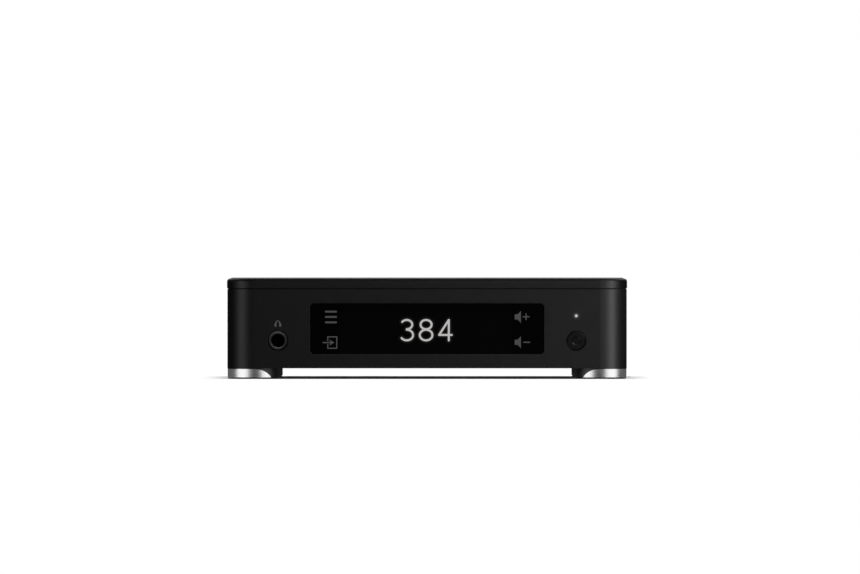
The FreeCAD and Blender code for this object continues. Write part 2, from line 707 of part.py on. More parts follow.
def transformer_clamp():
    """Dished washer with its bolt through the middle of the transformer."""
    top = COIL_BOTTOM + COIL_H
    washer = rod(24.0, COIL_X, COIL_Y, top, 1.2, UP)
    bolt = rod(COIL_BOLT_R, COIL_X, COIL_Y, BODY_BOTTOM + 0.2, top + 1.2 - BODY_BOTTOM - 0.2, UP)
    head = rod(4.25, COIL_X, COIL_Y, top + 1.2, 3.0, UP)
    return join([washer, bolt, head])


def supply_board():
    return board_with_holes(block(SUPPLY_X, SUPPLY_Y, [BOARD_BOTTOM, BOARD_TOP]), SUPPLY_FIXINGS)


def supply_capacitors():
    return group([can(x, y, 8.0, 25.0) for x in (38, 56) for y in (18, 36)])


def supply_heatsink():
    back = block([68, 70.5], [14, 50], [BOARD_TOP, BOARD_TOP + 25])
    fins = [block([70, 78], [15 + 5 * k, 16.2 + 5 * k], [BOARD_TOP, BOARD_TOP + 25]) for k in range(7)]
    return join([back] + fins)


# ---- rear sockets ----
def rca_shell(x):
    barrel = tube(RCA_R, RCA_BORE_R, x, REAR, RCA_Z, RCA_L)
    flange = tube(RCA_FLANGE_R, RCA_BORE_R, x, REAR, RCA_Z, RCA_FLANGE_T)
    return join([barrel, flange])


def rca_bodies():
    """Moulded blocks on the board, each with a nose inside its shell."""
    bodies = []
    contact_r = 1.7
    for x in OUTPUT_X + [COAX_X]:
        base = block([x - 5.5, x + 5.5], [REAR - REAR_T - 12, REAR - REAR_T], [BOARD_TOP, RCA_Z + 6])
        nose = rod(RCA_BORE_R - 0.02, x, REAR - REAR_T, RCA_Z, REAR_T + RCA_L - 1.2)
        hole = rod(contact_r, x, REAR - 6, RCA_Z, 6 + RCA_L)
        bodies.append(join([base, nose]).cut(hole))
    return group(bodies)


def rca_contacts():
    """Centre contacts: sprung sleeves at the bottom of each nose."""
    return group([tube(1.68, 1.5, x, REAR - 6, RCA_Z, 6 + RCA_L - 2.4) for x in OUTPUT_X + [COAX_X]])


def optical_housing():
    outer = rounded(
        [OPTICAL_X - OPTICAL_HALF_W, OPTICAL_X + OPTICAL_HALF_W],
        [REAR - OPTICAL_IN, REAR + OPTICAL_OUT],
        [BOARD_TOP, BOARD_TOP + OPTICAL_H],
        0.5,
        "Y",
    )
    floor = BOARD_TOP + 1.0
    stop = REAR + 0.5
    cavity = block([OPTICAL_X - 4.65, OPTICAL_X + 4.65], [REAR - 10, stop], [floor, floor + 9.6])
    mouth = block([OPTICAL_X - 4.3, OPTICAL_X + 4.3], [stop, REAR + 2], [floor + 0.1, floor + 8.6])
    pin_length = 2 * (4.65 + 0.95)
    pin_hole = rod(SHUTTER_PIN_R + 0.05, OPTICAL_X - pin_length / 2, SHUTTER_Y, SHUTTER_Z, pin_length, RIGHT)
    lens = rod(1.2, OPTICAL_X, REAR - 10, BOARD_TOP + 5.3, 1.5)
    return remove(outer, [cavity, mouth, pin_hole]).fuse(lens)


def optical_shutter():
    """Flap that hangs from a pin at its upper edge and swings inward."""
    half = 4.45
    half_t = SHUTTER_T / 2
    bottom = BOARD_TOP + 1.3
    leaf = block(around(OPTICAL_X, half), around(SHUTTER_Y, half_t), [bottom, SHUTTER_Z])
    barrel = rod(0.5, OPTICAL_X - half, SHUTTER_Y, SHUTTER_Z, 2 * half, RIGHT)
    pin_length = 2 * (4.65 + 0.85)
    pin = rod(SHUTTER_PIN_R, OPTICAL_X - pin_length / 2, SHUTTER_Y, SHUTTER_Z, pin_length, RIGHT)
    return join([leaf, barrel, pin])


def cropped_mouth(x, half_w, z, cut, y):
    """A rectangular socket space with its two upper corners cut off."""
    points = [
        V(x - half_w, y[0], z[0]),
        V(x + half_w, y[0], z[0]),
        V(x + half_w, y[0], z[1] - cut),
        V(x + half_w - cut, y[0], z[1]),
        V(x - half_w + cut, y[0], z[1]),
        V(x - half_w, y[0], z[1] - cut),
        V(x - half_w, y[0], z[0]),
    ]
    return Part.Face(Part.makePolygon(points)).extrude(BACKWARD * (y[1] - y[0]))


def data_shell():
    z = [BOARD_TOP, BOARD_TOP + DATA_H]
    outer = rounded(around(DATA_X, DATA_HALF_W), [REAR - 15, REAR + 0.6], z, 0.6, "Y")
    return outer.cut(cropped_mouth(DATA_X, DATA_MOUTH_HALF_W, DATA_MOUTH_Z, 1.6, [REAR - 12, REAR + 1]))


def data_tongue():
    z = [BOARD_TOP + 3.9, BOARD_TOP + 7.1]
    return rounded([DATA_X - 2.8, DATA_X + 2.8], [REAR - 12, REAR - 1.5], z, 0.3, "Y")


def power_inlet():
    flange_half_w, flange_half_h = INLET_FLANGE_HALF
    half_w, half_h = INLET_HALF
    flange_y = [REAR, REAR + INLET_FLANGE_T]
    flange = rounded(around(INLET_X, flange_half_w), flange_y, around(INLET_Z, flange_half_h), 2.0, "Y")
    body = block(around(INLET_X, half_w), [REAR - INLET_IN, REAR], around(INLET_Z, half_h))
    wide, tall = INLET_CAVITY_HALF
    start = REAR - INLET_CAVITY_IN
    end = REAR + INLET_FLANGE_T + 1
    cavity = cropped_mouth(INLET_X, wide, around(INLET_Z, tall), 4.5, [start, end])
    slots = [inlet_blade(x_off, z_off, REAR - INLET_IN - 1, start, SCREW_GAP) for x_off, z_off in BLADES]
    return remove(join([flange, body]), [cavity] + slots)


def inlet_blade(x_off, z_off, y_start, y_end, gap=0.0):
    x = [INLET_X + x_off - 1.0 - gap, INLET_X + x_off + 1.0 + gap]
    z = [INLET_Z + z_off - 2.0 - gap, INLET_Z + z_off + 2.0 + gap]
    return block(x, [y_start, y_end], z)


def inlet_blades():
    """Three flat blades, with tags behind the inlet."""
    return group([inlet_blade(x, z, REAR - INLET_IN - 6, REAR - 2.4) for x, z in BLADES])


def build_all():
    parts = {
        "cover": cover(),
        "cover_gasket": cover_gasket(),
        "chassis": chassis(),
        "base_plate": base_plate(),
        "rear_panel": rear_panel(),
        "tie_posts": tie_posts(),
        "base_screws": base_screws(),
        "rear_screws": rear_screws(),
        "foot_pads": foot_pads(),
        "foot_screws": foot_screws(),
        "display_glass": display_glass(),
        "touch_boards": touch_boards(),
        "display_panel": display_panel(),
        "display_board": display_board(),
        "display_bracket": display_bracket(),
        "display_ribbon": display_ribbon(),
        "front_screws": front_screws(),
        "power_cap": power_cap(),
        "power_plunger": power_plunger(),
        "power_switch": power_switch(),
        "power_spring": power_spring(),
        "control_board": control_board(),
        "status_led": status_led(),
        "light_pipe": light_pipe(),
        "jack_bushing": jack_bushing(),
        "jack_body": jack_body(),
        "jack_contacts": jack_contacts(),
        "main_board": main_board(),
        "board_standoffs": board_standoffs(),
        "board_screws": board_screws(),
        "converter_chip": converter_chip(),
        "receiver_chip": receiver_chip(),
        "amplifier_chips": amplifier_chips(),
        "board_capacitors": board_capacitors(),
        "output_relays": output_relays(),
        "shield_can": shield_can(),
        "transformer": transformer(),
        "transformer_clamp": transformer_clamp(),
        "supply_board": supply_board(),
        "supply_capacitors": supply_capacitors(),
        "supply_heatsink": supply_heatsink(),
        "rca_shell_left": rca_shell(OUTPUT_X[0]),
        "rca_shell_right": rca_shell(OUTPUT_X[1]),
        "rca_shell_coaxial": rca_shell(COAX_X),
        "rca_bodies": rca_bodies(),
        "rca_contacts": rca_contacts(),
        "optical_housing": optical_housing(),
        "optical_shutter": optical_shutter(),
        "data_shell": data_shell(),
        "data_tongue": data_tongue(),
        "power_inlet": power_inlet(),
        "inlet_blades": inlet_blades(),
    }
    for name, place in foot_places().items():
        parts["foot_shoe_" + name] = foot_shoe(*place)
        parts["foot_core_" + name] = foot_core(*place)
    return parts


os.makedirs("parts", exist_ok=True)
for node, shape in build_all().items():
    shape.exportStep("parts/" + node + ".step")
    print(node, len(shape.Solids), round(shape.Volume, 2), shape.isValid())
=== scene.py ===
import json
import math

import bpy
from mathutils import Matrix, Vector


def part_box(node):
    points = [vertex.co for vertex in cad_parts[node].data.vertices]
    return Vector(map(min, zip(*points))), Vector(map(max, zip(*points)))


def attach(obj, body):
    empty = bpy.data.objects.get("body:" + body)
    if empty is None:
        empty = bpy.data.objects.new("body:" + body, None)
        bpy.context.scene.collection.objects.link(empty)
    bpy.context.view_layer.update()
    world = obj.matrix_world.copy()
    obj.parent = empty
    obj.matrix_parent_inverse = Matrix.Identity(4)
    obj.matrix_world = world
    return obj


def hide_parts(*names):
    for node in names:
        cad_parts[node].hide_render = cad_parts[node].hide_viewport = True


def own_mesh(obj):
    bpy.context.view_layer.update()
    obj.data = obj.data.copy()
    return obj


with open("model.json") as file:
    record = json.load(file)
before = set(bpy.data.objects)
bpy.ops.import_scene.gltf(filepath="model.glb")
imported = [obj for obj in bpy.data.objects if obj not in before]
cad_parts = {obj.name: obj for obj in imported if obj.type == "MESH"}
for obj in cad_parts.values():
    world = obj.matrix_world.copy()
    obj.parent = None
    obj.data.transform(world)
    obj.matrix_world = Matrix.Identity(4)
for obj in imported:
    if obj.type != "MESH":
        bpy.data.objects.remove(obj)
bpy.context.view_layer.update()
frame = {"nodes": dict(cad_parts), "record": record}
scene = bpy.context.scene

MM = 0.001
ENCLOSURE = "enclosure"

# ---- places taken from the frame ----
glass_low, glass_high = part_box("display_glass")
jack_low, jack_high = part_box("jack_bushing")
light_low, light_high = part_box("light_pipe")
spring_low, spring_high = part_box("power_spring")
FRONT_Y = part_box("cover")[0].y
FACE_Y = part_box("chassis")[0].y
GLASS_Y = glass_low.y
DISPLAY_Z = (glass_low.z + glass_high.z) / 2
JACK_X = (jack_low.x + jack_high.x) / 2
LIGHT = (light_low + light_high) / 2

# ---- finishes that several materials share ----
BLACK = (0.002, 0.002, 0.0021)
ANODISED_IOR = 1.6
GRAIN_SCALE = 7000.0  # noise cells in a metre
GRAIN = 0.12
LATHE_LINES = (15.0, 15.0, 9000.0)  # noise cells in a metre: long round the axis, fine along it
ANODISED_CLOUD = 90.0  # broad patches where a surface is a little lighter or glossier
PLAIN_CLOUD = 60.0
BUMP_DEPTH = 0.02 * MM
LIGHT_COLOR = (0.66, 0.64, 0.6)
DISPLAY_COLOR = (0.5, 0.492, 0.48)


# ---- node helpers ----
class Shader:
    """A Principled material and the few node patterns that the finishes share."""

    def __init__(self, name, color, roughness, metallic=0.0, ior=1.5):
        self.material = bpy.data.materials.new(name)
        self.material.use_nodes = True
        self.nodes = self.material.node_tree.nodes
        self.links = self.material.node_tree.links
        self.bsdf = self.nodes["Principled BSDF"]
        self.set("Base Color", (*color, 1.0))
        self.set("Roughness", roughness)
        self.set("Metallic", metallic)
        self.set("IOR", ior)
        self.coordinates = None
        self.normal = None

    def set(self, socket, value):
        self.bsdf.inputs[socket].default_value = value

    def node(self, kind, **values):
        """A new node. Each value goes to the input or the property of that name."""
        made = self.nodes.new(kind)
        for key, value in values.items():
            if key in made.inputs:
                made.inputs[key].default_value = value
            else:
                setattr(made, key, value)
        return made

    def position(self, stretch=(1.0, 1.0, 1.0), middle=(0.0, 0.0, 0.0)):
        """Object coordinates in metres, stretched about a point."""
        if self.coordinates is None:
            self.coordinates = self.node("ShaderNodeTexCoord").outputs["Object"]
        mapping = self.node("ShaderNodeMapping")
        mapping.inputs["Scale"].default_value = stretch
        mapping.inputs["Location"].default_value = [-m * s for m, s in zip(middle, stretch)]
        self.links.new(self.coordinates, mapping.inputs["Vector"])
        return mapping.outputs["Vector"]

    def noise(self, scale, detail=2.0, stretch=(1.0, 1.0, 1.0)):
        texture = self.node("ShaderNodeTexNoise", Scale=scale, Detail=detail)
        self.links.new(self.position(stretch), texture.inputs["Vector"])
        return texture.outputs["Fac"]

    def ranged(self, value, low, high, start=0.3, end=0.7):
        """A texture's value mapped to a working range."""
        mapped = self.node("ShaderNodeMapRange")
        sockets = ("From Min", "From Max", "To Min", "To Max")
        for socket, number in zip(sockets, (start, end, low, high)):
            mapped.inputs[socket].default_value = number
        self.links.new(value, mapped.inputs["Value"])
        return mapped.outputs["Result"]

    def vary_roughness(self, value, low, high):
        self.links.new(self.ranged(value, low, high), self.bsdf.inputs["Roughness"])

    def vary_color(self, value, dark, light):
        ramp = self.node("ShaderNodeValToRGB")
        for stop, color, position in zip(ramp.color_ramp.elements, (dark, light), (0.3, 0.7)):
            stop.color = (*color, 1.0)
            stop.position = position
        self.links.new(value, ramp.inputs["Fac"])
        self.links.new(ramp.outputs["Color"], self.bsdf.inputs["Base Color"])

    def bump(self, value, strength):
        bump = self.node("ShaderNodeBump", Strength=strength, Distance=BUMP_DEPTH)
        self.links.new(value, bump.inputs["Height"])
        if self.normal is not None:
            self.links.new(self.normal, bump.inputs["Normal"])
        self.normal = bump.outputs["Normal"]
        self.links.new(self.normal, self.bsdf.inputs["Normal"])


def anodised(name, color, roughness):
    """Bead-blasted, dyed aluminium: a fine even grain under a satin oxide skin."""
    shader = Shader(name, color, roughness, ior=ANODISED_IOR)
    grain = shader.noise(GRAIN_SCALE, 3.0)
    broad = shader.noise(ANODISED_CLOUD, 4.0)
    spread = 0.006
    shader.vary_roughness(broad, roughness - spread, roughness + spread)
    shader.vary_color(broad, [c * 0.9 for c in color], [c * 1.1 for c in color])
    shader.bump(grain, GRAIN)
    return shader.material


def turned(name, color, roughness, metallic=0.0):
    """Metal turned on a lathe about an upright axis: fine level lines round it."""
    shader = Shader(name, color, roughness, metallic)
    lines = shader.noise(1.0, 2.0, LATHE_LINES)
    spread = 0.05
    shader.vary_roughness(lines, roughness - spread, roughness + spread)
    shader.vary_color(lines, [c * 0.88 for c in color], color)
    shader.bump(lines, 0.15)
    return shader.material


def plain(name, color, roughness, metallic=0.0, scale=900.0, bump=0.1, ior=1.5):
    """Moulded or plated surface with a slight unevenness in colour, gloss and height."""
    shader = Shader(name, color, roughness, metallic, ior)
    fine = shader.noise(scale, 3.0)
    broad = shader.noise(PLAIN_CLOUD, 3.0)
    spread, glossiest = 0.06, 0.02
    shader.vary_color(broad, [c * 0.85 for c in color], color)
    shader.vary_roughness(fine, max(roughness - spread, glossiest), roughness + spread)
    shader.bump(fine, bump)
    return shader.material


def glow(shader, color, value, low, high, start=0.3, end=0.7):
    """Makes a surface give out light that follows a texture's value."""
    shader.set("Emission Color", (*color, 1.0))
    strength = shader.ranged(value, low, high, start, end)
    shader.links.new(strength, shader.bsdf.inputs["Emission Strength"])


def lit(name, color, strength):
    """A dark surface that glows, a little unevenly."""
    shader = Shader(name, (0.004, 0.004, 0.004), 0.4)
    glow(shader, color, shader.noise(1500.0, 2.0), strength * 0.94, strength)
    return shader.material


def spot(shader, middle, radius):
    """1 at a point on the front, falling to 0 at a radius round it."""
    gradient = shader.node("ShaderNodeTexGradient", gradient_type="QUADRATIC_SPHERE")
    place = shader.position((1 / radius, 0.0, 1 / radius), middle)
    shader.links.new(place, gradient.inputs["Vector"])
    return gradient.outputs["Fac"]


def lens(name, color, strength):
    """The frosted end of the light pipe, brightest in the middle."""
    shader = Shader(name, (0.05, 0.05, 0.05), 0.3)
    glow(shader, color, spot(shader, LIGHT, 1.6 * MM), strength * 0.1, strength, 0.0, 1.0)
    return shader.material


MATERIALS = {
    "cover_anodised": anodised("cover_anodised", BLACK, 0.46),
    "body_anodised": anodised("body_anodised", BLACK, 0.46),
    "rear_anodised": anodised("rear_anodised", (0.003, 0.003, 0.0031), 0.48),
    "base_painted": plain("base_painted", (0.012, 0.012, 0.012), 0.55, scale=2500.0, bump=0.5),
    "shoe_silver": turned("shoe_silver", (0.83, 0.83, 0.83), 0.36, metallic=1.0),
    "core_black": turned("core_black", BLACK, 0.38),
    "pad_rubber": plain("pad_rubber", (0.005, 0.005, 0.005), 0.85, scale=3000.0, bump=0.4, ior=1.3),
    "glass_black": plain("glass_black", (0.0036, 0.0036, 0.0038), 0.05, scale=12.0, bump=0.0),
    "glass_lit": plain("glass_lit", (0.0056, 0.0056, 0.0058), 0.05, scale=12.0, bump=0.0),
    "mark_paint": plain("mark_paint", (0.28, 0.28, 0.27), 0.6),
    "display_dark": plain("display_dark", (0.004, 0.004, 0.005), 0.2),
    "socket_nickel": plain("socket_nickel", (0.2, 0.2, 0.2), 0.38, metallic=1.0),
    "button_anodised": anodised("button_anodised", (0.0015, 0.0015, 0.0016), 0.36),
    "light_lens": lens("light_lens", LIGHT_COLOR, 1.25),
    "light_chip": plain("light_chip", (0.8, 0.78, 0.6), 0.4),
    "steel_zinc": plain("steel_zinc", (0.55, 0.55, 0.56), 0.32, metallic=1.0),
    "steel_black": plain("steel_black", (0.02, 0.02, 0.02), 0.4, metallic=0.6),
    "spring_steel": plain("spring_steel", (0.6, 0.6, 0.6), 0.25, metallic=1.0),
    "board_laminate": plain("board_laminate", (0.01, 0.06, 0.03), 0.35),
    "chip_black": plain("chip_black", (0.012, 0.012, 0.012), 0.5),
    "can_sleeve": plain("can_sleeve", (0.02, 0.03, 0.06), 0.3),
    "relay_plastic": plain("relay_plastic", (0.7, 0.7, 0.66), 0.45),
    "shield_tin": plain("shield_tin", (0.6, 0.6, 0.58), 0.35, metallic=1.0),
    "tape_wrap": plain("tape_wrap", (0.6, 0.45, 0.1), 0.4),
    "heat_sink": anodised("heat_sink", (0.01, 0.01, 0.01), 0.4),
    "ribbon_film": plain("ribbon_film", (0.7, 0.7, 0.68), 0.35),
    "socket_black": plain("socket_black", (0.012, 0.012, 0.012), 0.45, scale=2500.0, bump=0.25),
    "contact_gold": plain("contact_gold", (0.83, 0.6, 0.22), 0.3, metallic=1.0, scale=300.0, bump=0.01),
    "data_steel": plain("data_steel", (0.6, 0.6, 0.6), 0.36, metallic=1.0, scale=300.0, bump=0.01),
    "data_white": plain("data_white", (0.75, 0.75, 0.72), 0.4),
}
for subpart in frame["record"]["subparts"]:
    for slot in frame["nodes"][subpart["node"]].material_slots:
        slot.material = MATERIALS[subpart["material_slot"]]


# ---- outlines, in millimetres, as seen from the front ----
def arc(middle, radii, start, end, steps=28):
    """Points along an ellipse. Angles run anticlockwise from the right, in degrees."""
    angles = [math.radians(start + (end - start) * i / steps) for i in range(steps + 1)]
    (x, z), (radius_x, radius_z) = middle, radii
    return [(x + radius_x * math.cos(a), z + radius_z * math.sin(a)) for a in angles]


def sideways(points, index, distance, closed):
    """A point moved off a path, square to it."""
    last = len(points) - 1
    before = points[index - 1] if closed or index > 0 else points[index]
    after = points[(index + 1) % len(points)] if closed or index < last else points[index]
    dx, dz = after[0] - before[0], after[1] - before[1]
    length = math.hypot(dx, dz)
    return points[index][0] - dz / length * distance, points[index][1] + dx / length * distance


def ribbon(points, width):
    """The outline of an open stroke with round ends."""
    half = width / 2
    left = [sideways(points, i, half, False) for i in range(len(points))]
    right = [sideways(points, i, -half, False) for i in range(len(points))]
    outline = []
    for side, end, start in ((left, points[-1], left[-1]), (right[::-1], points[0], right[0])):
        heading = math.degrees(math.atan2(start[1] - end[1], start[0] - end[0]))
        outline += side + arc(end, (half, half), heading, heading - 180, 10)[1:-1]
    return [outline]


def ring(points, width):
    """The two outlines of a closed stroke."""
    steps = range(len(points))
    return [[sideways(points, i, side * width / 2, True) for i in steps] for side in (-1, 1)]


def rectangle(x0, x1, z0, z1, radius=0.2):
    """A rectangle with round corners."""
    left, right, low, high = x0 + radius, x1 - radius, z0 + radius, z1 - radius
    corners = []
    for x, z, start in ((right, high, 0), (left, high, 90), (left, low, 180), (right, low, 270)):
        corners += arc((x, z), (radius, radius), start, start + 90, 6)
    return corners


def softened(outline, rounds=2):
    """Cuts the corners of an outline until it is smooth."""
    for _ in range(rounds):
        cut = []
        for (ax, az), (bx, bz) in zip(outline, outline[1:] + outline[:1]):
            cut.append((ax * 0.75 + bx * 0.25, az * 0.75 + bz * 0.25))
            cut.append((ax * 0.25 + bx * 0.75, az * 0.25 + bz * 0.75))
        outline = cut
    return outline


def moved(outlines, x, z):
    return [[(px + x, pz + z) for px, pz in outline] for outline in outlines]


# ---- pieces made from curves ----
def from_curve(name, curve, material):
    """A mesh object with the shape of a curve."""
    drawn = bpy.data.objects.new(name + "_outline", curve)
    mesh = bpy.data.meshes.new_from_object(drawn)
    bpy.data.objects.remove(drawn)
    mesh.materials.clear()
    mesh.materials.append(material)
    made = bpy.data.objects.new(name, mesh)
    scene.collection.objects.link(made)
    return made


def plate(name, outlines, start, front, material):
    """A flat plate on the front, between two depths. An outline inside another is a hole."""
    curve = bpy.data.curves.new(name, "CURVE")
    curve.dimensions = "2D"
    curve.fill_mode = "BOTH"
    curve.extrude = (start - front) / 2
    for outline in outlines:
        spline = curve.splines.new("POLY")
        spline.points.add(len(outline) - 1)
        for point, (x, z) in zip(spline.points, outline):
            point.co = (x * MM, z * MM, 0.0, 1.0)
        spline.use_cyclic_u = True
    made = from_curve(name, curve, material)
    upright = Matrix.Rotation(math.radians(90), 4, "X")
    made.data.transform(Matrix.Translation((0, (start + front) / 2, 0)) @ upright)
    return made


def fused(name, outline_sets, start, front, material):
    """Several overlapping plates joined into one."""
    first, *others = [plate(name, outlines, start, front, material) for outlines in outline_sets]
    for other in others:
        modifier = first.modifiers.new("join", "BOOLEAN")
        modifier.operation = "UNION"
        modifier.solver = "EXACT"
        modifier.object = other
    joined = first.evaluated_get(bpy.context.evaluated_depsgraph_get())
    mesh = bpy.data.meshes.new_from_object(joined)
    first.modifiers.clear()
    first.data = mesh
    for other in others:
        bpy.data.objects.remove(other)
    return first


# ---- what the display shows ----
STROKE = 1.02
DIGIT_H = 11.2 - STROKE
DIGIT_X = 9.65  # from one digit to the next
DIGITS_LEFT = 0.5  # how far the number stands off the middle of the glass
DIGITS_DOWN = 0.65
UPPER = ((0.0, DIGIT_H - 2.3), (2.75, 2.3))  # middle and radii of a digit's bowls
LOWER = ((0.0, 2.65), (3.15, 2.65))


def digit_three(width):
    return [ribbon(arc(*UPPER, 145, -90), width), ribbon(arc(*LOWER, 90, -145), width)]


def digit_eight(width):
    return [ring(arc(*UPPER, 0, 355, 60), width), ring(arc(*LOWER, 0, 355, 60), width)]


def digit_four(width):
    post, bar, left = 1.7, 2.7, -3.15
    strokes = [
        [(post, 0.0), (post, DIGIT_H)],
        [(post, DIGIT_H), (left, bar)],
        [(left, bar), (-left, bar)],
    ]
    return [ribbon(stroke, width) for stroke in strokes]


def digits(width):
    """The strokes of the number, each as its own outlines."""
    bottom = DISPLAY_Z / MM - DIGIT_H / 2 - DIGITS_DOWN
    drawn = []
    for step, digit in enumerate((digit_three, digit_eight, digit_four)):
        x = (step - 1) * DIGIT_X - DIGITS_LEFT
        drawn += [moved(outlines, x, bottom) for outlines in digit(width)]
    return drawn


def speaker():
    """Side view of a loudspeaker: a square back and a horn that flares to the right."""
    back, neck, steps = 1.25, 1.05, 8
    flare = [(neck + 2.05 * t / steps, back + 1.8 * (t / steps) ** 1.5) for t in range(steps + 1)]
    upper = [(0.0, back)] + flare
    return [upper + [(x, -z) for x, z in reversed(upper)]]


def plus(half, stroke):
    """An upright cross with equal arms."""
    t = stroke / 2
    quarter = [(t, half), (t, t), (half, t)]
    outline = []
    for x, z in ((1, 1), (1, -1), (-1, -1), (-1, 1)):
        points = quarter if x * z > 0 else reversed(quarter)
        outline += [(px * x, pz * z) for px, pz in points]
    return [outline]


def headphones():
    """A narrow headband over two drop-shaped cups."""
    outer = [(0.8, -1.6), (1.35, -1.6), (1.7, -1.15), (1.72, -0.55), (1.25, 0.35), (0.6, 1.4)]
    inner = [(0.35, 1.05), (0.8, 0.15), (0.75, -1.2)]
    half = [(0.0, 1.62)] + outer[::-1] + inner[::-1] + [(0.0, 1.32)]
    return [softened(half + [(-x, z) for x, z in reversed(half[1:-1])])]


def show_display():
    """The lit part of the display, the painted glow round the digits and the digits, in thin layers."""
    layer = 0.012 * MM
    depths = [GLASS_Y - step * layer for step in range(5)]
    area = [rectangle(-43.8, 42.2, 12.6, 33.5)]
    pieces = [plate("active_area", area, depths[0], depths[1], MATERIALS["glass_lit"])]
    glows = (
        # The two halo layers are painted glow round the digits; the digits glow as the display's own light.
        ("digit_halo_wide", 2.2, "halo_faint", 0.003),
        ("digit_halo", 1.2, "halo_near", 0.009),
        ("digits", 0.0, "digit_light", 1.0),
    )
    for (name, spread, glow_name, strength), start, front in zip(glows, depths[1:], depths[2:]):
        light = lit(glow_name, DISPLAY_COLOR, strength)
        pieces.append(fused(name, digits(STROKE + spread), start, front, light))
    return pieces


def show_icons():
    """Touch marks on the glass, and the mark over the headphone socket."""
    # The printed touch marks glow faintly and evenly: painted light that stands in for the light they
    # reflect.
    light = lit("icon_light", (0.056, 0.056, 0.055), 1.0)
    middle = DISPLAY_Z / MM
    stroke, half_bar = 0.58, 0.47
    bar_middles = [middle + z for z in (8.6, 5.95, 3.25)]
    bars = [rectangle(-51.0, -45.0, z - half_bar, z + half_bar, 0.42) for z in bar_middles]
    frame_path = [(-4.5, 1.0), (-4.5, 2.85), (0, 2.85), (0, -2.85), (-4.5, -2.85), (-4.5, -1.0)]
    frame_strokes = [ribbon(pair, stroke) for pair in zip(frame_path, frame_path[1:])]
    arrow_top = [(-7.0, 0.3), (-3.1, 0.3), (-3.6, 1.5)]
    arrow = arrow_top + [(-1.2, 0.0)] + [(x, -z) for x, z in reversed(arrow_top)]
    source = [moved(outlines, -45.1, middle - 6.85) for outlines in frame_strokes + [[arrow]]]
    speaker_x = 43.75
    louder = moved(speaker(), speaker_x, middle + 5.98) + moved(plus(1.68, stroke), 49.43, middle + 6.02)
    softer = moved(speaker(), speaker_x, middle - 6.7) + [rectangle(48.0, 51.4, middle - 7.0, middle - 6.4)]
    mark = moved(headphones(), JACK_X / MM, 27.65)
    glass_front = GLASS_Y - 0.04 * MM
    mark_front = FACE_Y - 0.02 * MM
    return [
        plate("menu_icon", bars, GLASS_Y, glass_front, light),
        fused("source_icon", source, GLASS_Y, glass_front, light),
        plate("louder_icon", louder, GLASS_Y, glass_front, light),
        plate("softer_icon", softer, GLASS_Y, glass_front, light),
        plate("headphone_mark", mark, FACE_Y, mark_front, MATERIALS["mark_paint"]),
    ]


def light_bloom():
    """Light that spills from the light pipe onto the panel round it."""
    outer_r, inner_r = 2.6, 0.98
    shader = Shader("bloom_panel", BLACK, 0.46, ior=ANODISED_IOR)
    shader.bump(shader.noise(GRAIN_SCALE, 3.0), GRAIN)
    glow(shader, LIGHT_COLOR, spot(shader, LIGHT, outer_r * MM), 0.0, 0.07, 0.0, 0.5)
    middle = (LIGHT.x / MM, LIGHT.z / MM)
    rims = [arc(middle, (r, r), 0, 354, 60) for r in (outer_r, inner_r)]
    return plate("light_bloom", rims, FACE_Y, FACE_Y - 0.006 * MM, shader.material)


def return_spring():
    """A coil of wire between the button and the switch, in the place of the frame's spring."""
    wire_r, turns, steps = 0.15 * MM, 5, 28
    middle = (spring_low + spring_high) / 2
    coil_r = (spring_high.x - spring_low.x) / 2 - wire_r
    length = spring_high.y - spring_low.y
    curve = bpy.data.curves.new("return_spring", "CURVE")
    curve.dimensions = "3D"
    curve.bevel_depth = wire_r
    curve.use_fill_caps = True
    spline = curve.splines.new("POLY")
    spline.points.add(turns * steps)
    for i, point in enumerate(spline.points):
        turn = 2 * math.pi * i / steps
        y = spring_low.y + wire_r + (length - 2 * wire_r) * i / (turns * steps)
        x, z = middle.x + coil_r * math.cos(turn), middle.z + coil_r * math.sin(turn)
        point.co = (x, y, z, 1.0)
    coil = from_curve("return_spring", curve, MATERIALS["spring_steel"])
    coil.data.shade_smooth()
    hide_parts("power_spring")
    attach(coil, ENCLOSURE)
    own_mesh(coil)
    return coil


display_pieces = show_display()
front_pieces = display_pieces + show_icons() + [light_bloom()]
for piece in front_pieces:
    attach(piece, ENCLOSURE)
shown = front_pieces + [return_spring()]


# ---- stage ----
def make_floor():
    """A large pale sheet that the object doesn't reflect."""
    mesh = bpy.data.meshes.new("floor")
    reach = 40.0
    corners = [(-reach, -reach, 0), (reach, -reach, 0), (reach, reach, 0), (-reach, reach, 0)]
    mesh.from_pydata(corners, [], [(0, 1, 2, 3)])
    floor = bpy.data.objects.new("floor", mesh)
    scene.collection.objects.link(floor)
    shader = Shader("floor_paper", (0.85, 0.85, 0.85), 0.9)
    shader.set("Specular IOR Level", 0.0)
    mesh.materials.append(shader.material)
    floor.visible_glossy = False
    floor.visible_diffuse = False
    floor.visible_shadow = False
    return floor


def light_only(light, objects):
    """Lets a light fall on these objects and no others."""
    receivers = bpy.data.collections.new(light.name + "_receivers")
    for thing in objects:
        receivers.objects.link(thing)
    light.light_linking.receiver_collection = receivers


def softbox(name, receivers, azimuth, elevation, distance, width, height, radiance):
    """A rectangular light that faces the object. Azimuth 0 is the camera's side."""
    a, e = math.radians(azimuth), math.radians(elevation)
    toward = Vector((math.sin(a) * math.cos(e), -math.cos(a) * math.cos(e), math.sin(e)))
    data = bpy.data.lights.new(name, "AREA")
    data.shape = "RECTANGLE"
    data.size, data.size_y = width, height
    data.energy = radiance * math.pi * width * height
    light = bpy.data.objects.new(name, data)
    light.location = Vector((0, 0, DISPLAY_Z)) + toward * distance
    light.rotation_mode = "QUATERNION"
    light.rotation_quaternion = toward.to_track_quat("Z", "Y")
    light.visible_camera = False
    scene.collection.objects.link(light)
    light_only(light, receivers)


